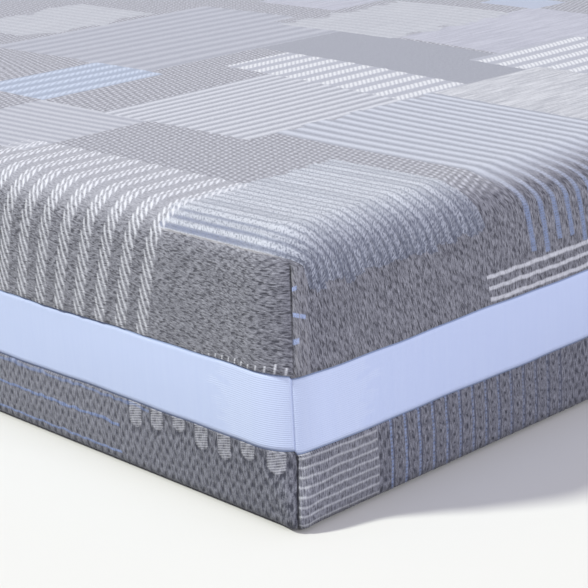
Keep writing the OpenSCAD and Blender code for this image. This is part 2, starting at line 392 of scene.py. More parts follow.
coarse = Ring(35, 48, [-38, -29, -18, -9, 0, 9, 18, 29, 38])


def foam_slab(name, material, node, low, high, crown=0):
    """A slab of foam between two heights: softly crowned, with slightly hollow sides."""
    panel = Panel()
    line = spaced(between(outline(FOAM_SIDE, FOAM_END), high, low), 12)
    line[:, 0] -= 0.6 * (1 - ((2 * line[:, 1] - low - high) / (high - low)) ** 2)
    panel.skin(line)
    panel.gather()
    x, y = abs(panel.points[:, 0]) / HALF_W, abs(panel.points[:, 1]) / HALF_L
    panel.points[:, 2] -= crown * np.maximum(x, y) ** 6 * (panel.points[:, 2] - low) / (high - low)
    dress(panel.sew(name), material, node)


def foam_finish(name, light, dark, cell):
    """Open-cell foam: a skin of fine cut cells, with the odd larger bubble."""
    foam = Finish(name)
    x, y, z = foam.place()
    cells = foam.noise(x / cell, y / cell, z / cell, detail=3)
    bubbles = foam.noise(x / 9, y / 9, z / 9)
    tone = cells * 1.3 + bubbles * 0.5 - 0.45
    return foam.end(foam.mix(tone, dark, light), cells * 0.5 + bubbles * 0.3, rough=0.9)


CORE_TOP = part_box("support_core")[1].z * M_TO_MM
core_foam = foam_finish("cut_support_foam", (0.42, 0.52, 0.7), (0.3, 0.39, 0.56), 1.1)
foam_slab("support_slab", core_foam, "support_core", FOAM_END, CORE_TOP)

# ---- Transition foam ----
# The middle slab, of softer open-cell foam, glued to the core. It eases the step from the firm
# core to the slow foam above, and its sides follow the same outline.

transition_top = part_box("transition_foam")[1].z * M_TO_MM
transition_foam = foam_finish("cut_transition_foam", (0.7, 0.78, 0.84), (0.55, 0.63, 0.7), 0.9)
foam_slab("transition_slab", transition_foam, "transition_foam",
          CORE_TOP, transition_top)

# ---- Memory foam ----
# The slow-recovering slab that the sleeper lies on. It is poured and cut, with its upper edge
# ground to the round of the cover, and it holds a slight crown.

memory_foam = foam_finish("cut_memory_foam", (0.84, 0.8, 0.68), (0.7, 0.66, 0.54), 0.7)
foam_slab("memory_slab", memory_foam, "memory_foam",
          transition_top, HEIGHT - FOAM_END, crown=0.8)

# ---- Fire sleeve ----
# A thin white knitted sock that holds the slabs together and keeps fire off them. It is pulled
# over the foam and closed by hand, under the cover, and clings to every side.

SLEEVE_SIDE, SLEEVE_END, SLEEVE_T = 6, 3, 1
sleeve = Panel()
sleeve.skin(spaced(outline(SLEEVE_SIDE, SLEEVE_END), 36))
sleeve.skin(spaced(outline(SLEEVE_SIDE + SLEEVE_T, SLEEVE_END + SLEEVE_T), 36), inward=True)
sleeve.gather()
sock = Finish("white_sleeve_knit")
x, y, z = sock.place()
wales = (x + y).wave(1.8) * 0.5 + 0.5
courses = (z + x * 0.3 - y * 0.3).wave(1.4) * 0.5 + 0.5
loops = wales * courses
white_knit = sock.mix(loops, (0.62, 0.62, 0.6), (0.84, 0.84, 0.82))
white_knit = sock.end(white_knit, loops * 0.25, shine=0.25, Sheen_Weight=0.3)
dress(sleeve.sew("sleeve_sock"), white_knit, "fire_sleeve")

# ---- Zip ----
# A nylon coil zip across the head end, let into the seam between the band and the lower cap. Its
# woven tapes are sewn in behind the cloth, and a plated slider with a pull runs along its chain.

def make_up(name, skins, closed=False):
    """One piece from skins over loops of points in mm. An open skin has flat ends."""
    faces, count = [], 0
    for loops in skins:
        ids = np.arange(len(loops) * len(loops[0])).reshape(len(loops), -1) + count
        count += ids.size
        start, following = (ids, np.roll(ids, -1, 0)) if closed else (ids[:-1], ids[1:])
        quads = np.stack([start, following, np.roll(following, -1, 1), np.roll(start, -1, 1)], -1)
        faces += quads.reshape(-1, 4).tolist()
        if not closed:
            faces += [ids[0].tolist(), ids[-1][::-1].tolist()]
    return smooth_piece(name, np.concatenate([np.reshape(s, (-1, 3)) for s in skins]), faces)


woven = Finish("woven_zip_tape")
x, _, z = woven.place()
herringbone = (x + z.math("PINGPONG", 2.4) * 1.6).line(0, 1.1, 0.6, 0.3)
cord_lines = z.line(0, 3.1, 0.8, 0.5)
tape_cloth = woven.mix(herringbone, (0.17, 0.18, 0.23), (0.27, 0.28, 0.34))
tape_cloth = woven.end(tape_cloth, herringbone * 0.15 + cord_lines * 0.2, rough=0.8, shine=0.3)
for row in ("upper", "lower"):
    low, high = (np.array(c) * M_TO_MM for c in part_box(f"zip_tape_{row}"))
    middle_z, half_z = (low[2] + high[2]) / 2, (high[2] - low[2]) / 2
    loops = []
    for at in np.linspace(low[0], high[0], 236):
        ripple = 0.06 * math.sin(at / 23) * math.sin(at / 61)
        face, back = high[1] - 0.12 + ripple, low[1] + 0.12 + ripple
        edge = [(back, -0.96), (back, 0.96), ((back + face) / 2, 1), (face, 0.96), (face, -0.96),
                ((back + face) / 2, -1)]
        loops.append([(at, depth, middle_z + half_z * share) for depth, share in edge])
    dress(make_up(f"zip_tape_cloth_{row}", [loops]), tape_cloth, f"zip_tape_{row}")

nylon = Finish("zip_chain_nylon")
x, y, z = nylon.place()
coil_turns = (x + y * 0.6).line(0, 1.5, 0.9, 0.5)
nylon_tone = coil_turns * 0.6 + nylon.noise(x * 2, y * 2, z * 2, detail=2) * 0.4
chain_finish = nylon.mix(nylon_tone, (0.15, 0.16, 0.2), (0.27, 0.28, 0.33))
chain_finish = nylon.end(chain_finish, coil_turns * 0.15, rough=0.45, shine=0.45)
metal = Finish("plated_zip_metal")
x, y, z = metal.place()
rubbed = metal.noise(x / 3, y / 1.2, z / 1.2, detail=4)
scratch = metal.noise(x / 6, y * 3, z * 3, detail=2)
metal_finish = metal.mix(rubbed, (0.33, 0.34, 0.37), (0.56, 0.57, 0.6))
metal_finish = metal.end(metal_finish, scratch * 0.05, rough=rubbed * 0.2 + 0.25, shine=0.5, Metallic=1)
for name in ("coil_upper", "coil_lower", "top_stops", "bottom_stop", "slider", "pull"):
    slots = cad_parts["zip_" + name].data.materials
    slots.clear()
    slots.append(chain_finish if "coil" in name else metal_finish)

# ---- Lower cap ----
# The darker heather knit that covers the underside and the lowest part of the sides. It is cut
# flat, with its four corners darted and sewn, and its edge is rolled in against the band.

KNIT_T, ROLL_R, TOE_R = 3, 1.5, 8
DART_TOP = HEIGHT - 27
FINE_FAN = [0.8, 1.6, 2.8, 4.4, 6.5, 9, 13.5, 18, 23.5, 29, 33.5, 38, 41.5]
SLOT_HALF_L, SLOT_HALF_H = 700, 7
fine = Ring(280, 384, [-a for a in FINE_FAN[::-1]] + [0] + FINE_FAN)


def swell(x, y, z, size):
    """Slow ups and downs of padded cloth, between about -1 and 1, a few times size apart."""
    waves = [(1, 0.31, 0.2, 0.4), (-0.42, 0.93, 0.5, 2.1), (0.73, -0.68, 1.1, 4),
             (0.15, 1.37, -0.8, 1.2), (1.61, 0.44, 0.9, 5.3)]
    return sum(np.sin((a * x + b * y + c * z) / size + d) for a, b, c, d in waves) / 3


def fade(value, low, high):
    """0 up to low and 1 from high, and smooth between them."""
    t = np.clip((value - low) / (high - low), 0, 1)
    return t * t * (3 - 2 * t)


ring_share = np.arange(fine.size) / fine.size * 2 * math.pi
hem_wave = (0.7 * np.sin(17 * ring_share + 1) + 0.45 * np.sin(43 * ring_share)
            + 0.25 * np.sin(101 * ring_share))
by_zip = (fine.strip == 2) & (np.abs(fine.anchor[:, 0]) <= SLOT_HALF_L) & (fine.turn == SIDE_TURN[2])
lower_hem = LOWER_SEAM + np.where(by_zip, -SLOT_HALF_H, 0.8 * np.roll(hem_wave, 61))
on_long_side = fine.strip % 2 == 1
# Each column's angle from the nearest corner seam, in degrees, and 45 along the sides.
quarter = (np.degrees(fine.turn) + 720) % 90
seam_angle = np.where(quarter < 0.001, 45, np.abs(quarter - 45))
at_corner = np.exp(-(np.radians(seam_angle) * CORNER_R / 18) ** 2)
lower_hem = lower_hem - at_corner * np.where(on_long_side, 4.3, 0.8)


def outward(line):
    """The outward direction at each point of a downward line."""
    step = np.gradient(line[:, :2], axis=0)
    step /= np.hypot(*step.T)[:, None]
    return np.stack([-step[:, 1], step[:, 0]], 1)


def unfolded(panel):
    """The whole cloth opened out in one image, with its inner face small in a corner."""
    size = INNER + panel.reach.max() + 4

    def place(ids, side):
        at = panel.on_cloth(ids, side % 4)
        inner = size - 4 - (1 - at / size) * 42
        return np.where((side >= 4)[..., None], inner, at) / size / 2 + 0.5
    return place


def slip_at(z):
    """How far the cloth has slipped round the corners at a height, in mm."""
    return np.interp(z, [0, LOWER_SEAM, UPPER_SEAM, DART_TOP, HEIGHT], [0, 1.6, 2.1, 4.2, 0])


def slip_round(panel, ids, z):
    """Lets a row of cloth slip round the corners, so that the seams lean a little. Gives its
    points' distances from the seams, and where they then lie."""
    from_corner = np.abs(panel.to_seam(ids, fine.strip))
    slip = slip_at(z) * np.exp(-(from_corner / 25) ** 2)
    panel.points[ids, :2] += fine.along * slip[:, None]
    return from_corner, *panel.points[ids, :2].T


def by_the_seam(panel, rest_z):
    """How far points are from a corner seam, and their height, both in metres."""
    return lambda ids, side: np.stack([panel.to_seam(ids, side % 4) * MM, rest_z[ids] * MM], -1)


def sew_cap(panel, name, on_cloth, rest_z):
    """Makes a cap, with its places on the cloth and by the seams."""
    return panel.sew(name, {"cloth": lambda ids, side: on_cloth(ids, side % 4) * MM,
                            "by_seam": by_the_seam(panel, rest_z), "OFBake": unfolded(panel)})


def squarer(radius):
    """How much further out the corners' columns go where the corners have a smaller radius."""
    turn, straight = np.radians(seam_angle), CORNER_R - radius
    across = math.sqrt(2) * straight * np.cos(turn)
    far = across + np.sqrt(np.maximum(0, across**2 - 2 * straight**2 + radius**2))
    off_side = math.pi / 4 - turn
    return np.where(CORNER_R * np.tan(off_side) <= straight, CORNER_R / np.cos(off_side), far) / CORNER_R


def lining(panel, hem, line, middle_z, flip=False):
    """The inner face of a cap, from its hem to its middle. Its faces count their sides from 4."""
    first = len(panel.faces)
    rows = [panel.row(coarse, rho, z, reach) for rho, z, reach in line]
    middle, edge = panel.middle(coarse, middle_z)
    panel.thin_out(hem, rows[0], flip)
    panel.join(coarse, [*rows, edge], flip)
    panel.fill(coarse, middle, flip)
    panel.side[first:] = [s + 4 for s in panel.side[first:]]


lower = Panel()
foot, foot_edge = lower.middle(coarse, 0)
lower_at = spaced(between(outline(), LOWER_SEAM - ROLL_R, 0)[::-1], 20)
lower_rows = []
for rho, z, reach in lower_at:
    drop = (lower_hem - LOWER_SEAM) * max(0, (z - FOOT_R) / (LOWER_SEAM - FOOT_R))
    lower_rows.append(lower.row(fine, rho, z + drop, CORNER_R - FOOT_R + reach))
    corner_r = TOE_R + (CORNER_R - TOE_R) * fade(z, 8, LOWER_SEAM - 2)
    lower.rows[-1][:, :2] += fine.out * (rho * (squarer(corner_r) - 1))[:, None]
hem_reach = CORNER_R - FOOT_R + lower_at[-1, 2]
roll = [(CORNER_R - 0.44, -0.44, 1.2), (CORNER_R - ROLL_R, 0, 2.4), (CORNER_R - KNIT_T, 0, 3.9)]
hems = [lower.row(fine, rho, lower_hem + drop, hem_reach + more) for rho, drop, more in roll]
lower.thin_out(lower_rows[0], foot_edge)
lower.join(fine, [*lower_rows, *hems], flip=True)
lower.fill(coarse, foot, False)
line = spaced(between(outline(KNIT_T, KNIT_T), LOWER_SEAM - 18, KNIT_T), 6)
lining(lower, hems[-1], line * (1, 1, -1) + (0, 0, 60), KNIT_T, flip=True)
lower.gather()
lower_rest = lower.points[:, 2].copy()
for ids, (out, up), height in zip(lower_rows, outward(lower_at), lower_at[:, 1]):
    lower_rest[ids] = height
    from_corner, x, y = slip_round(lower, ids, height)
    by = 1.1 * swell(x, y, 0, 90) * fade(height, 3, 26)
    by += np.sin(math.pi * min(1, height / LOWER_SEAM)) ** 2
    by -= 1.7 * np.exp(-(from_corner / 1.1) ** 2)
    by += (2.2 - height / 60) * np.exp(-((from_corner - 7) / 5) ** 2)
    by *= np.where(by_zip, 0.25, 1)
    lower.points[ids, :2] -= fine.out * (out * by)[:, None]
    lower.points[ids, 2] -= up * by * fade(height, 2, 8)

TAB_PITCH, WHITE_PITCH, UPRIGHT_PITCH = 30.4, 8.1, 17.8
heather = Finish("dark_heather_knit")
reach_mm, z, _ = heather.place("by_seam")
x, y, _ = heather.place("cloth")
from_corner = abs(reach_mm)
long_side = reach_mm.math("GREATER_THAN", 0)
head_side = 1 - long_side
wobble = heather.noise(from_corner / 16, z / 16) - 0.5
grain = heather.noise(from_corner / 1.5, z / 7, detail=2, rough=0.65)
speck = heather.noise(x / 1.1, y / 1.1)
fleck = heather.noise(from_corner / 2.4, z / 5)
stagger = (from_corner + wobble * 3).wave(10.4) * (z + wobble * 5).wave(16)
pits = (stagger * 0.8 + fleck * 1.5 - 0.8).clamp()
tab_step = (from_corner - 2) / TAB_PITCH
off_tab = tab_step.math("FRACT") - 0.5
tab_foot = LOWER_SEAM - 14 - tab_step.luck() * 11 + off_tab * off_tab * 60 + wobble * 3
tab_row = head_side * from_corner.within(1, 215)
tabs = ((z - tab_foot) * 0.6).clamp() * off_tab.spot(0, 0.25, 0.05) * tab_row
# Painted shade: a darker ring round each tab, where the cloth bulges round it.
tab_rim_shade = ((z - tab_foot + 5) * 0.4).clamp() * off_tab.spot(0, 0.33, 0.09) * tab_row - tabs
hatching = (z + from_corner * 0.25).line(0, 2.3, 1, 0.8)
wave_z = z + wobble * 6
far_lines = (wave_z.spot(40.5, 0.9, 0.9) + wave_z.spot(12.5, 0.8, 0.9)) * head_side
far_lines = far_lines * from_corner.within(224, 2236) * (from_corner.wave(3.1) * 0.25 + 0.75)
seam_line = wave_z.spot(LOWER_SEAM - 3, 0.8, 1.2) * head_side * from_corner.within(180, 2280)
wrap = from_corner.math("WRAP", 474, -6)
stripe_zone = wrap.within(-6, 86) * long_side
white_lines = (z + wobble * 2).line(7.5, WHITE_PITCH, 1.7, 1.8) * z.within(5, 67) * stripe_zone
ribs = from_corner.wave(1.9) * stripe_zone
upright_zone = wrap.within(101, 349) * long_side
upright_at = wrap + wobble * 1.6
upright = upright_at.line(105, UPRIGHT_PITCH, 1, 1) * upright_zone
chain = upright_at.line(102.4, UPRIGHT_PITCH, 2.6, 1.4) * upright_zone * (z.wave(3.4) * 0.3 + 0.7)
chain = chain * (1.35 - wrap / 280).clamp()
dots = upright_at.line(94, UPRIGHT_PITCH / 2, 2, 1.6) * upright_zone
dots = dots * (z + wobble * 14 + wrap * 0.4).line(0, 9.4, 2.4, 2)
tone = (grain * 1.6 + speck * 0.5 + fleck * 0.5 - 0.92 - pits * 0.5 * (1 - stripe_zone) * (1 - upright_zone)
        - dots * 0.5 + ribs * 0.12 + stripe_zone * 0.1 - upright_zone * 0.02
        + tabs * 0.12 - tab_rim_shade * 0.16 + head_side * ((from_corner * 0.0006).math("MINIMUM", 0.16) - 0.07))
blue_yarn = (far_lines * (grain * 0.9 + 0.35)).clamp() + seam_line * 0.4
colour = heather.lay(
    heather.mix(tone, (0.05, 0.052, 0.07), (0.36, 0.365, 0.42)),
    (tabs * (hatching * 0.45 + 0.1), (0.52, 0.52, 0.56)),
    (white_lines * (grain * 0.8 + 0.35), (0.56, 0.57, 0.61)),
    (blue_yarn * 0.8, (0.22, 0.32, 0.62)),
    (chain * (speck * 0.9 + 0.25), (0.27, 0.35, 0.58)),
    (upright * 0.85, (0.045, 0.055, 0.105)))
# Painted shade: the colour is darkened down the slit of each corner dart.
slit = (from_corner * -1.3 + 1.4).clamp()
# Painted shade: the colour is also darkened towards the foot, in the lowest 13 mm or so, where the cap meets
# the floor.
colour = heather.mix(1, colour, (1 - slit * 0.8) * (z * 0.03 + 0.62).clamp(), "MULTIPLY")
relief = (grain * 0.9 - pits * 0.7 - stagger * 0.35 + tabs * (hatching * 0.3 + 0.2) + white_lines * 0.5
          + far_lines * 0.4 - upright * 0.6 + chain * 0.3 + ribs * 0.25 - dots * 0.4)
dark_knit = heather.end(colour, relief, Sheen_Weight=0.12, Sheen_Roughness=0.5)
lower_cap = sew_cap(lower, "lower_cap", lower.on_cloth, lower_rest)
dress(lower_cap, dark_knit, "lower_cover")

# ---- Side band ----
# A strip of pale blue spacer mesh, finely ribbed, that runs round the middle of the sides. It is
# stretched between the two caps, and joined end to end with a plain seam at the corners.

BAND_OUT, BAND_IN = CORNER_R - 1, CORNER_R - KNIT_T
upper_hem = UPPER_SEAM + 0.9 * hem_wave - at_corner * np.where(on_long_side, 3.4, 1.8)
band_foot = np.where(by_zip, LOWER_SEAM + SLOT_HALF_H, lower_hem)
band = Panel()
band_rows = []
for share in np.linspace(0, 1, 15):
    z = upper_hem + (band_foot - upper_hem) * share
    bulge = 0.7 * math.sin(math.pi * share) * (1 + 0.6 * np.sin(11 * ring_share + 2))
    bulge = bulge * np.where(by_zip, 0.3, 1) - 0.8 * np.exp(-(np.radians(seam_angle) * BAND_OUT / 0.9) ** 2)
    band_rows.append(band.row(fine, BAND_OUT + bulge, z, 10 + share * 68))
band_hem = band.row(fine, BAND_IN, band_foot, 80)
band_top = band.row(fine, BAND_IN, upper_hem, 8)
inner_low = band.row(coarse, BAND_IN, LOWER_SEAM + 22, 90)
inner_high = band.row(coarse, BAND_IN, UPPER_SEAM - 14, 110)
band.join(fine, [band_top, *band_rows, band_hem])
band.thin_out(band_hem, inner_low)
band.join(coarse, [inner_low, inner_high])
band.thin_out(band_top, inner_high, flip=True)
band.gather()
strip = Finish("pale_blue_band_mesh")
reach_mm, z, _ = strip.place("by_seam")
from_corner = abs(reach_mm)
patchy = strip.noise(from_corner / 26, z / 9)
near_corner = ((patchy * 90 - from_corner + 40) / 14).clamp()
ribs = z.wave(1.9) * near_corner * 0.06 + from_corner.wave(1.5) * (1 - near_corner) * 0.05
drift = strip.noise(from_corner / 5, z / 60, detail=2)
weave = strip.noise(from_corner / 0.9, z / 0.9)
tone = ribs + drift * 0.3 + weave * 0.2 + near_corner * 0.2 + 0.02
corner_line = (from_corner * -0.9 + 1.1).clamp()
# Painted shadow: thin dark lines along the band's top and bottom hems, under the caps' rolled edges.
hem_shadow_lines = (z - UPPER_SEAM + 1.9).clamp() + (LOWER_SEAM + 1.9 - z).clamp()
colour = strip.mix(tone, (0.5, 0.58, 0.815), (0.63, 0.705, 0.885))
colour = strip.lay(colour, (corner_line * 0.5, (0.36, 0.43, 0.68)), (hem_shadow_lines * 0.7, (0.15, 0.21, 0.37)))
pale_mesh = strip.end(colour, ribs + weave * 0.1, rough=0.7, shine=0.25, Sheen_Weight=0.1)
band_piece = band.sew("band_strip", {"by_seam": by_the_seam(band, UPPER_SEAM + 10 - band.reach)})
dress(band_piece, pale_mesh, "side_band")

# ---- Upper cap ----
# The jacquard knit that the sleeper sees: heather grey with raised white and pale blue yarns, in
# a patchwork of stripes, ribs, cords and dashes that repeats. Its corners are darted like the
# lower cap's, and its edge is rolled in above the band.

STITCH_X, STITCH_Y = 2 * INNER_X / fine.count_x, 2 * INNER_Y / fine.count_y
REPEAT_X, REPEAT_Y = 268 * STITCH_X, 248 * STITCH_Y
FROM_X, FROM_Y = -1240, -130
SHORT_LEAN, LONG_LEAN = 0.2, -0.3
SHORT_HANG, LONG_HANG, DART_REACH = 52, 27, 57
# Each patch of the repeat: from and to across the bed, then from and to along it, in mm from the
# corner at the foot end on the sleeper's left.
PATCHES = {
    "dashes": [(-500, -156, -130, 113), (-236, 66, 812, 930), (-1040, -870, 985, 1095)],
    "cords": [(-172, 26, 6.5, 230)],
    "stripes": [(-304, 60, 275, 510), (-420, -200, 1000, 1104), (-1200, -1050, 60, 300)],
    "ribs": [(-544, -303, 236, 462), (-60, 100, 985, 1110), (-1190, -1060, 880, 1010)],
    "bars": [(-662, -462, 78, 240), (-200, 30, 700, 800), (-1010, -860, 60, 290)],
    "dots": [(-630, -303, 462, 566), (-400, -228, 669, 862)],
    "lattice": [(-797, -660, 240, 385)],
    "lines": [(-832, -688, 379, 722), (-1030, -832, 387, 765), (-820, -560, -80, 60)],
    "smooth": [(-687, -303, 566, 715), (-1010, -830, -60, 40)],
    "streaks": [(-303, -60, 510, 690), (-1190, -1080, 320, 430)],
    "ragged": [(-800, -581, 710, 940), (-1225, -1047, 460, 680)],
    "pale": [(-581, -375, 722, 995), (-985, -825, 833, 935)],
    "grid": [(-675, -569, 986, 1061), (-1230, -1110, -100, 30)],
    "wavy": [(62, 97, 219, 400)],
    "ticks": [(-100, 30, -96, -78)],
}
DASH_AT, DASH_PITCH = -172, 6 * STITCH_X
DOT_AT, DOT_PITCH = -316, 31.5
RIB_AT, RIB_PITCH = -310, 17.3
STRIPE_AT, STRIPE_PITCH, CLOSING = 285, 19.8, 0.00088
CORD_AT, CORD_PITCH = 15.4, 2 * STITCH_Y
WAVY_AT, WAVY_PITCH = 68.5, 11.2
LATTICE_AT, LATTICE_PITCH = -786, 28.6


def on_knit(ids, side):
    """Where points lie on the knit, in mm from the corner. The cloth is eased round each corner
    above its dart, and the pattern slants a little where it was pulled over the bed."""
    along, out = upper.laid_flat(ids, side)
    short, reach, end = side % 2 == 0, upper.reach[ids], np.sign(along)
    from_corner = np.abs(upper.to_seam(ids, side))
    lean = np.where(short, SHORT_LEAN, LONG_LEAN * (1 - 0.47 * fade(from_corner, 170, 300)))
    on_dart = np.minimum(reach, DART_REACH)
    hang, dart = (np.maximum(0, r - np.where(short, SHORT_HANG, LONG_HANG)) for r in (reach, on_dart))
    eased = (on_dart - upper.rho[ids] * math.pi / 4 - end * lean * dart) * np.exp(-(from_corner / 60) ** 2)
    rounded = np.maximum(0, 28 - from_corner) ** 2 / 112 * (1 - fade(reach, 50, 60)) * fade(reach, 8, 30)
    at = on_plan(along + hang * lean + end * (eased - rounded), out - rounded, side)
    x, y = at[..., 0] - HALF_W, at[..., 1] + HALF_L
    turned = fade(x, -42, 18)
    slant = 0.1 * fade(y, 200, 400) * np.clip(x + 306, -400, 300) * (1 - turned)
    slant = (slant - 13 * fade(y, 170, 300) * turned) * (1 - fade(y, 900, 1300))
    return np.stack([x, y + slant], -1)


def raised(x, y):
    """How far the knit's patches stand up at points of the cloth, in mm."""
    x = (x - FROM_X) % REPEAT_X + FROM_X
    y = (y - FROM_Y) % REPEAT_Y + FROM_Y
    within = {kind: sum((x > west) & (x < east) & (y > foot_end) & (y < head_end)
                        for west, east, foot_end, head_end in spots) for kind, spots in PATCHES.items()}
    rise = 0.4 * (within["ragged"] + within["streaks"])
    drawn = y + CLOSING * np.maximum(y - STRIPE_AT, 0) ** 2
    for kind, height, along, at, pitch, width in (
            ("dashes", 0.9, x, DASH_AT, DASH_PITCH, 9), ("ribs", 0.6, x, RIB_AT, RIB_PITCH, 8),
            ("stripes", 0.5, drawn, STRIPE_AT, STRIPE_PITCH, 8), ("dots", 0.7, x, DOT_AT, DOT_PITCH, 9),
            ("lattice", 0.5, x, LATTICE_AT, LATTICE_PITCH, 9), ("wavy", 0.6, x, WAVY_AT, WAVY_PITCH, 4)):
        off = np.abs((along - at + pitch / 2) % pitch - pitch / 2)
        rise = rise + height * within[kind] * np.where(off < width, np.cos(off / width * math.pi / 2) ** 2, 0)
    return rise + 0.25 * (1 - sum(within[kind] for kind in PATCHES if kind != "ticks").clip(0, 1))


upper = Panel()
top, top_edge = upper.middle(fine, HEIGHT)
upper_at = spaced(between(outline(), HEIGHT, UPPER_SEAM + ROLL_R), 27)
flat_reach = upper_at[0, 0]
upper_at += (0, 0, flat_reach)
upper_rows = [upper.row(fine, rho, z + (upper_hem - UPPER_SEAM) * fade(UPPER_SEAM + 45 - z, 0, 43.5), reach)
              for rho, z, reach in upper_at]
hems = [upper.row(fine, rho, upper_hem - drop, upper_at[-1, 2] + more) for rho, drop, more in roll]
upper.join(fine, [top_edge, *upper_rows, *hems])
line = spaced(between(outline(KNIT_T, KNIT_T), HEIGHT - KNIT_T, UPPER_SEAM + 14), 12)[::-1]
lining(upper, hems[-1], line + (0, 0, flat_reach), HEIGHT - KNIT_T)
upper.fill(fine, top, True)
upper.gather()
upper_rest = upper.points[:, 2].copy()

x, y = upper.points[top, :2].T
upper.points[top, 2] += raised(*on_knit(top, np.zeros(len(top), int)).T) + 1.1 * swell(x, y, 0, 95) - 0.9
for ids, (out, up), (_, height, reach) in zip(upper_rows, outward(upper_at), upper_at):
    upper_rest[ids] = height
    from_corner, x, y = slip_round(upper, ids, height)
    pinch = fade(reach, 52, 62)
    by = raised(*on_knit(ids, fine.strip).T) * fade(from_corner, 4, 14)
    by += 1.1 * swell(x, y, 0, 95) - 0.9 * fade(height, 225, 254)
    by += 0.9 * swell(x, y, height * 1.7, 60) * fade(reach, 20, 90)
    by += 0.9 * np.sin(math.pi * np.clip((height - UPPER_SEAM) / 92, 0, 1)) ** 2
    by += (0.9 * np.exp(-((from_corner - 7.5) / 5.5) ** 2) - np.exp(-(from_corner / 0.9) ** 2)) * pinch
    by -= 1.4 * math.exp(-((reach - DART_REACH) / 4) ** 2) * np.exp(-(seam_angle / 5) ** 2)
    upper.points[ids, :2] += fine.out * (out * by)[:, None]
    upper.points[ids, 2] += up * by

knit = Finish("jacquard_patchwork_knit")
x, y, _ = knit.place("cloth")
reach_mm, z, _ = knit.place("by_seam")
from_corner = abs(reach_mm)
x = x.math("WRAP", FROM_X + REPEAT_X, FROM_X)
y = y.math("WRAP", FROM_Y + REPEAT_Y, FROM_Y)
slip_x = knit.noise(x / 14, y / 14) - 0.5
slip_y = knit.noise(x / 14, y / 14, 7) - 0.5
ragged_end = knit.noise(x / 60, y / 4, 3) - 0.5
on_top = (z * 0.05 - 11.4).clamp()


def patch(kind, dx=0):
    """1 inside the patches of a kind, and 0 outside."""
    edge_x, edge_y = x + slip_x * 3 + dx, y + slip_y * 3
    return sum(edge_x.within(west, east) * edge_y.within(foot_end, head_end)
               for west, east, foot_end, head_end in PATCHES[kind])


streak = knit.noise(x / 6, (y + x * 0.12) / 1.35, detail=2, rough=0.6)
speck = knit.noise(x / 1.2, y / 1.2, 5)
fleck = knit.noise(x / 5, y / 2.3, 9)
grain = (speck - 0.5) * 0.9
side_bumps = (x * 0.04 + y * 0.12 + slip_x).wave(1) + (x * 0.1 - y * 0.085 + slip_y).wave(1)
top_bumps = (x * 0.043 + y * 0.147 + slip_x * 0.5).wave(1) + (x * 0.125 + y * 0.045 + slip_y * 0.5).wave(1)
dark_threads = knit.noise(x / 7, (y + slip_y * 2) / 1.6, 11)
drift = knit.noise((x + y) / 26, (y - x * 0.6) / 9, 6) - 0.5
pits = (dark_threads * 3.8 + side_bumps * 0.25 - 2.05).clamp() * (1 - on_top)
masks = {kind: patch(kind) for kind in PATCHES}
plain = (1 - sum(masks[kind] for kind in PATCHES if kind not in ("wavy", "ticks"))).clamp()
grains = (top_bumps * 0.8 - 0.25).clamp()
tone = streak * 1.65 + speck * 0.4 + fleck * 0.5 - 0.905 - pits * 0.6 + drift * 0.5 * (1 - on_top)
# Painted sheen: on top the base knit is made lighter all over, for the grazing light there. The plain knit
# there also shows its own light raised grains.
tone = tone + on_top * (plain * (grains * 0.42 + top_bumps * 0.09 - 0.1) + 0.265)
colour = knit.mix(tone * 0.81, (0.07, 0.071, 0.09), (0.5, 0.505, 0.565))

# The patches seen from above: how each one's light and dark yarns are shared, and their colours.
strokes = (y + x * 0.8).line(0, 6.9, 4.2, 2.4)
from_stripe = (y - STRIPE_AT).math("MAXIMUM", 0)
stripe_y = from_stripe * from_stripe * CLOSING + y + slip_y * 1.5 - STRIPE_AT
bead_row = (x + slip_x).line(DOT_AT, DOT_PITCH, 17, 5)
lattice = (x - LATTICE_AT).line(0, LATTICE_PITCH, 14, 8) * (strokes * 0.6 + 0.4)
down_streaks = knit.noise(x / 9, y / 120, 2, detail=4, rough=0.65)
thin_streaks = down_streaks * 1.5 + knit.noise(x / 3, y / 45, 8, detail=2, rough=0.6) * 1.7 - 1
for kind, share, dark, light in (
        ("smooth", 0.5, (0.175, 0.185, 0.225), (0.32, 0.33, 0.385)),
        ("pale", thin_streaks, (0.27, 0.275, 0.34), (0.44, 0.445, 0.515)),
        ("lines", (x + slip_x * 6).wave(31) * 0.5 + 0.5, (0.27, 0.28, 0.335), (0.385, 0.395, 0.45)),
        ("bars", (y - 94 + slip_y * 2).wave(14.3) * 0.5 + 0.5, (0.29, 0.3, 0.355), (0.46, 0.47, 0.52)),
        ("ribs", (x - RIB_AT + slip_x * 1.5).wave(RIB_PITCH) * 0.5 + 0.5,
         (0.265, 0.275, 0.325), (0.54, 0.55, 0.6)),
        ("dots", bead_row * (strokes * 0.7 + 0.3), (0.32, 0.33, 0.39), (0.66, 0.67, 0.7)),
        ("lattice", lattice, (0.255, 0.3, 0.4), (0.47, 0.53, 0.65)),
        ("streaks", thin_streaks, (0.24, 0.25, 0.29), (0.56, 0.565, 0.6)),
        ("grid", 0.5, (0.29, 0.33, 0.43), (0.4, 0.44, 0.55))):
    share = grain + (streak - 0.5) * 1.2 + share
    colour = knit.mix(masks[kind], colour, knit.mix(share, dark, light))
row_luck = (y / 13).luck() - 0.5
slow_edge = knit.noise(y / 55, 0, detail=0) - 0.5
ragged = patch("ragged", dx=slow_edge * 70 + row_luck * 16 + ragged_end * 14)
ragged_share = down_streaks * 0.7 + streak * 1.6 + y.wave(17) * 0.12 - 0.72
ragged_cloth = knit.mix(ragged_share, (0.29, 0.3, 0.345), (0.52, 0.53, 0.565))
colour = knit.mix(ragged, colour, ragged_cloth)
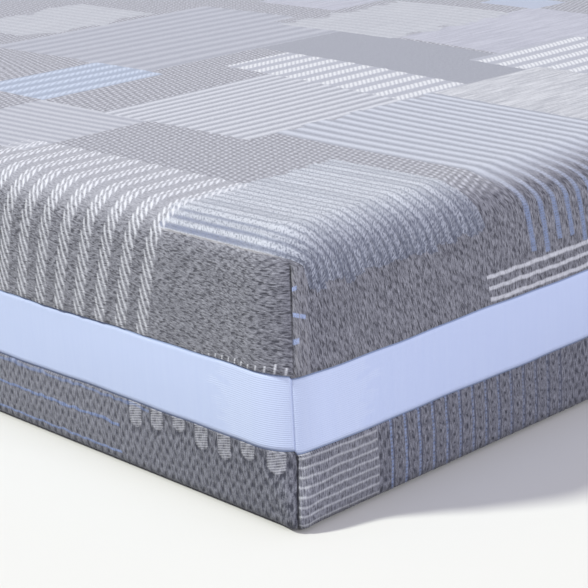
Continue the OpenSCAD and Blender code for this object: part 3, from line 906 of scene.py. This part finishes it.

# Stripes: soft and pale on top, where they lie close, and narrow and blue down the side. Their paler, greyer
# look on top is partly the knit and partly painted sheen of the light on the top.
stripes = patch("stripes", dx=((stripe_y / STRIPE_PITCH + 0.5).luck() - 0.5) * 12)
over_edge = 1 - ((z - 236) / 17).clamp()
stripe_share = stripe_y.wave(STRIPE_PITCH) * 0.5 + 0.5 + grain + (streak - 0.5) * 0.9
stripe_cloth = knit.mix(stripe_share, (0.25, 0.265, 0.32), (0.5, 0.525, 0.6))
stripe = stripe_y.line(0, STRIPE_PITCH, 6.6, 2.6) * stripes * over_edge
stripe_yarn = knit.mix((x + 8) / 26, (0.5, 0.54, 0.64), (0.225, 0.285, 0.45))
rungs = (x + slip_x * 2).wave(2.6) * 0.18 + 0.78 + (speck - 0.5) * 1.3 + (fleck - 0.5) * 0.8
colour = knit.lay(colour, (stripes * (1 - over_edge), stripe_cloth), (stripe * rungs, stripe_yarn))

# Cords: close rows of twisted yarn, grey on top and bluer where they run over the edge.
cords = patch("cords", dx=(row_luck + ragged_end) * 8)
cord_luck = ((y - CORD_AT) / CORD_PITCH + 0.5).luck()
cord_light = (x * -0.015 + 0.45 + ragged_end * 0.5).clamp()
cord_row = (y + slip_y * 1.5).line(CORD_AT, CORD_PITCH, 7, 2.4)
twist = knit.noise((x + y * 0.9) / 1.6, (y - x) / 7, 12)
twist = (twist * 4.6 + cord_light * 0.5 - 1.95).clamp()
cord_share = (twist * 0.85 + 0.15) * (cord_row * 0.75 + 0.25) * (cord_luck * 0.5 + 0.7) + (streak - 0.5) * 0.8
cord_ground = knit.mix(cord_light, (0.07, 0.082, 0.125), (0.2, 0.22, 0.275))
cord_yarn = knit.mix(cord_light, (0.38, 0.41, 0.5), (0.57, 0.595, 0.655))
cord_cloth = knit.mix(cord_share * (speck * 0.9 + 0.5), cord_ground, cord_yarn)
blue_rows = y.spot(10.3, 2, 1.5) + y.spot(20.6, 1.6, 1.5) * 0.7 + y.spot(30, 1.2, 1.5) * 0.4
blue_rows = blue_rows * (x * -0.012 + 0.1).clamp() * (streak * 1.2 + twist * 0.6 - 0.25) * (speck + 0.4)
cord_cloth = knit.mix(blue_rows * 0.8, cord_cloth, (0.14, 0.17, 0.29))
pale_line = (y + slip_y * 2).spot(6.2, 0.5, 1) * x.spot(-92, 72, 12)
cords_seen = cords * (ragged_end * 0.6 + 0.85).clamp()
colour = knit.lay(colour, (cords_seen, cord_cloth), (pale_line * 0.4, (0.46, 0.44, 0.44)))

# Dashes: columns of slanting white strokes, two abreast. Near the seam, wavy lines and short ticks.
stroke_at = x + y * 0.64 + y.math("MAXIMUM", 0) * 0.3
across = x + slip_x * 1.2 + stroke_at.wave(7.4) * 1.2 - DASH_AT
across = across.math("WRAP", DASH_PITCH / 2, -DASH_PITCH / 2)
columns = across.spot(0, 6.4, 2.6) * (1 - across.spot(0, 0.2, 1.4) * on_top * 0.7)
stroke = stroke_at + slip_x * 1.2 + across.math("GREATER_THAN", 0) * on_top * 2.4
stroke = stroke.line(0, 7.4, on_top * 0.9 + 2.9, 2) * masks["dashes"] * columns
wavy = patch("wavy", dx=-2) * (1 - on_top) * (x + slip_x * 3).line(WAVY_AT, WAVY_PITCH, 3.8, 1.6)
tick_top = UPPER_SEAM + 1.5 + (x + 112) * 0.05 * (((x - 2) / 9.6).luck() + 0.9)
ticks = masks["ticks"] * x.line(-2.6, 9.6, 1.8, 1.6) * (tick_top - z).clamp()
# Painted sheen: on top the strokes are made whiter and the ground between the columns lighter, for the light
# on the top.
white = (stroke * (on_top * 0.35 + 0.8) + wavy * 0.85 + ticks * 1.1) * (streak * 0.62 + speck * 0.32 + 0.44)
dash_ground = masks["dashes"] * (columns * 0.1 + on_top * 0.12)
colour = knit.lay(colour, (dash_ground, (0.5, 0.5, 0.54)), (white, (0.68, 0.69, 0.74)))

# Beside the corner darts: pulled threads, three blue stitches, and painted shade down the slit of the dart.
threads = knit.noise(reach_mm / 1.1, z / 16, 4)
side_strip = reach_mm.spot(7, 6, 3) * (z * -0.1 + 22.8).clamp()
pulled = side_strip * (threads * 1.6 - 0.55).clamp()
stitches = ((z - reach_mm * 0.3).spot(207.5, 1.3) * reach_mm.spot(2.8, 1.6)
            + (z + reach_mm * 0.25).spot(187, 1.3) * (reach_mm.spot(3.6, 2.2) + reach_mm.spot(9.4, 2))
            + (z - reach_mm * 0.2).spot(164.5, 1.6) * reach_mm.spot(3, 2.2)) * (speck * 1.2 + 0.3)
# Painted shade: the colour is darkened down the slit of each dart.
slit = (from_corner * -1.1 + 1.4).clamp() * (z * -0.25 + 57.3).clamp() * ((z - 125) / 95).clamp()
colour = knit.lay(colour, (pulled, (0.36, 0.355, 0.38)), (stitches * 0.8, (0.4, 0.5, 0.78)))
colour = knit.mix(1, colour, 1 - slit * 0.75, "MULTIPLY")
relief = (streak * 0.8 + fleck * 0.35 - pits * 0.7 + on_top * grains * plain * 0.25 + white * 0.35
          + stripe * 0.3 + cords * (cord_row * 0.35 + twist * 0.2)
          + masks["dots"] * bead_row * strokes * 0.5 + threads * side_strip * 0.4 - slit * 0.5)
patchwork = knit.end(colour, relief, Sheen_Weight=0.25, Sheen_Roughness=0.5)
upper_cap = sew_cap(upper, "upper_cap", on_knit, upper_rest)
dress(upper_cap, patchwork, "upper_cover")

# ---- Seams ----
# The sewn edges that are turned in behind the cloth: cap to band all the way round, and a dart
# down each corner. Each is two raw edges of knit, bound together by a zigzag of thread.

ALLOWANCE_OUT, ALLOWANCE_IN, ALLOWANCE_H = 3.3, 5.7, 8
BEHIND_ZIP = 706.3
DART_HALF = 0.68
thread = Finish("overlocked_edge")
x, y, z = thread.place()
zigzag = (x + y + z.math("PINGPONG", 3) * 0.8).line(0, 2.6, 0.9, 0.4)
fuzz = thread.noise(x / 0.9, y / 0.9, z / 0.9, detail=2)
edge_cloth = thread.mix(fuzz * 1.2 - 0.1, (0.1, 0.11, 0.14), (0.26, 0.27, 0.33))
edge_cloth = thread.mix(zigzag, edge_cloth, (0.55, 0.56, 0.6))
bound_edge = thread.end(edge_cloth, zigzag * 0.3 + fuzz * 0.3)
for name, low, whole in (("upper", UPPER_SEAM - ALLOWANCE_H, True), ("lower", LOWER_SEAM, False)):
    keep = np.arange(fine.size)
    if not whole:
        behind_zip = (fine.turn == SIDE_TURN[2]) & (np.abs(fine.anchor[:, 0]) <= BEHIND_ZIP)
        keep = np.roll(keep, -np.flatnonzero(behind_zip)[-1] - 1)
        keep = keep[~behind_zip[keep]]
    keep = keep[::2]
    ruffle = 0.12 * np.sin(ring_share[keep] * 233) + 0.08 * np.sin(ring_share[keep] * 97)
    section = []
    for depth, up in ((3.5, 0), (3.35, 4), (3.45, 7.6), (4.4, 8), (5.5, 7.6), (5.6, 4), (5.5, 0.4), (4.5, 0)):
        rho = CORNER_R - depth - ruffle * math.sin(math.pi * up / 8)
        section.append(np.column_stack([fine.anchor[keep] + fine.out[keep] * rho[:, None],
                                        np.full(len(keep), low + up)]))
    piece = make_up(f"{name}_band_edges", [np.stack(section, 1)], closed=whole)
    dress(piece, bound_edge, f"{name}_band_seam")

outer, inner = outline(ALLOWANCE_OUT, ALLOWANCE_OUT), outline(ALLOWANCE_IN, KNIT_T)
for name, low, high in (("upper_corner", UPPER_SEAM, DART_TOP), ("lower_corner", FOOT_R, LOWER_SEAM),
                        ("band_corner", LOWER_SEAM + ALLOWANCE_H, UPPER_SEAM - ALLOWANCE_H)):
    darts = []
    for corner in CORNERS:
        out, dart = corner / math.sqrt(2), []
        across = np.array([-out[1], out[0]])
        for i, height in enumerate(np.linspace(low + 0.1, high - 0.1, int((high - low) / 2))):
            far, near = at_height(outer, height) - 0.05, at_height(inner, height) + 0.05
            lean = 0.1 * math.sin(i * 1.3) + slip_at(height)
            edge = [(near, DART_HALF), ((near + far) / 2, DART_HALF + 0.05), (far, DART_HALF)]
            edge += [(r, -w) for r, w in edge[::-1]]
            dart.append([(*(corner * INNER + out * r + across * (w + lean)), height) for r, w in edge])
        darts.append(dart)
    dress(make_up(f"{name}_darts", darts), bound_edge, f"{name}_seams")

# ---- Floor, lamps and camera ----
# A plain sheet of paper for the floor, a key lamp from the foot end and a broad fill lamp from the
# right. Seen straight or in a gloss, the paper is nearly white. The camera stands low, off a corner.

FLOOR_HALF, FLOOR_Z = 60, -0.0005
floor_mesh = bpy.data.meshes.new("studio_floor")
floor_corners = [(x * FLOOR_HALF, y * FLOOR_HALF, FLOOR_Z) for x, y in CORNERS.tolist()]
floor_mesh.from_pydata(floor_corners, [], [(0, 1, 2, 3)])
floor = set_down("studio_floor", floor_mesh)
paper = Finish("pale_floor")
ways = ("Camera", "Glossy", "Transmission")
seen = sum(paper.node("LightPath", out=f"Is {way} Ray") for way in ways)
paper_colour = paper.mix(seen, (0.35, 0.35, 0.35), (0.722, 0.715, 0.682))
sheet = paper.node("BsdfDiffuse", inputs={"Color": paper_colour})
paper.node("OutputMaterial", inputs={0: sheet})
floor_mesh.materials.append(paper.material)

world = bpy.data.worlds.new("studio")
scene.world = world
world.use_nodes = True
backdrop = world.node_tree.nodes["Background"].inputs
backdrop["Color"].default_value = (0.89, 0.87, 1.045, 1)
backdrop["Strength"].default_value = 0.46


def lamp(name, travel, energy, angle, colour):
    """A far, broad lamp whose light travels in a given direction."""
    made = set_down(name, bpy.data.lights.new(name, "SUN"))
    made.data.energy, made.data.angle, made.data.color = energy, math.radians(angle), colour
    made.rotation_euler = Vector(travel).to_track_quat("-Z", "Y").to_euler()


lamp("key_lamp", (0.61, 0.79, -0.98), 3.05, 7, (1, 1.03, 0.955))
lamp("fill_lamp", (-1, 0.1, -0.4), 1.87, 30, (0.98, 0.985, 1.04))

camera = set_down("camera", bpy.data.cameras.new("camera"))
scene.camera = camera
camera.data.sensor_width, camera.data.lens = 36, 110.08
camera.matrix_world = Matrix.Translation((HALF_W * MM + 1.014, -HALF_L * MM - 0.918, 0.645))
for degrees, axis in ((47.54, "Z"), (72.42, "X"), (-3.18, "Z")):
    camera.matrix_world @= Matrix.Rotation(math.radians(degrees), 4, axis)
camera.data.clip_end = 200
scene.view_settings.view_transform = "Standard"
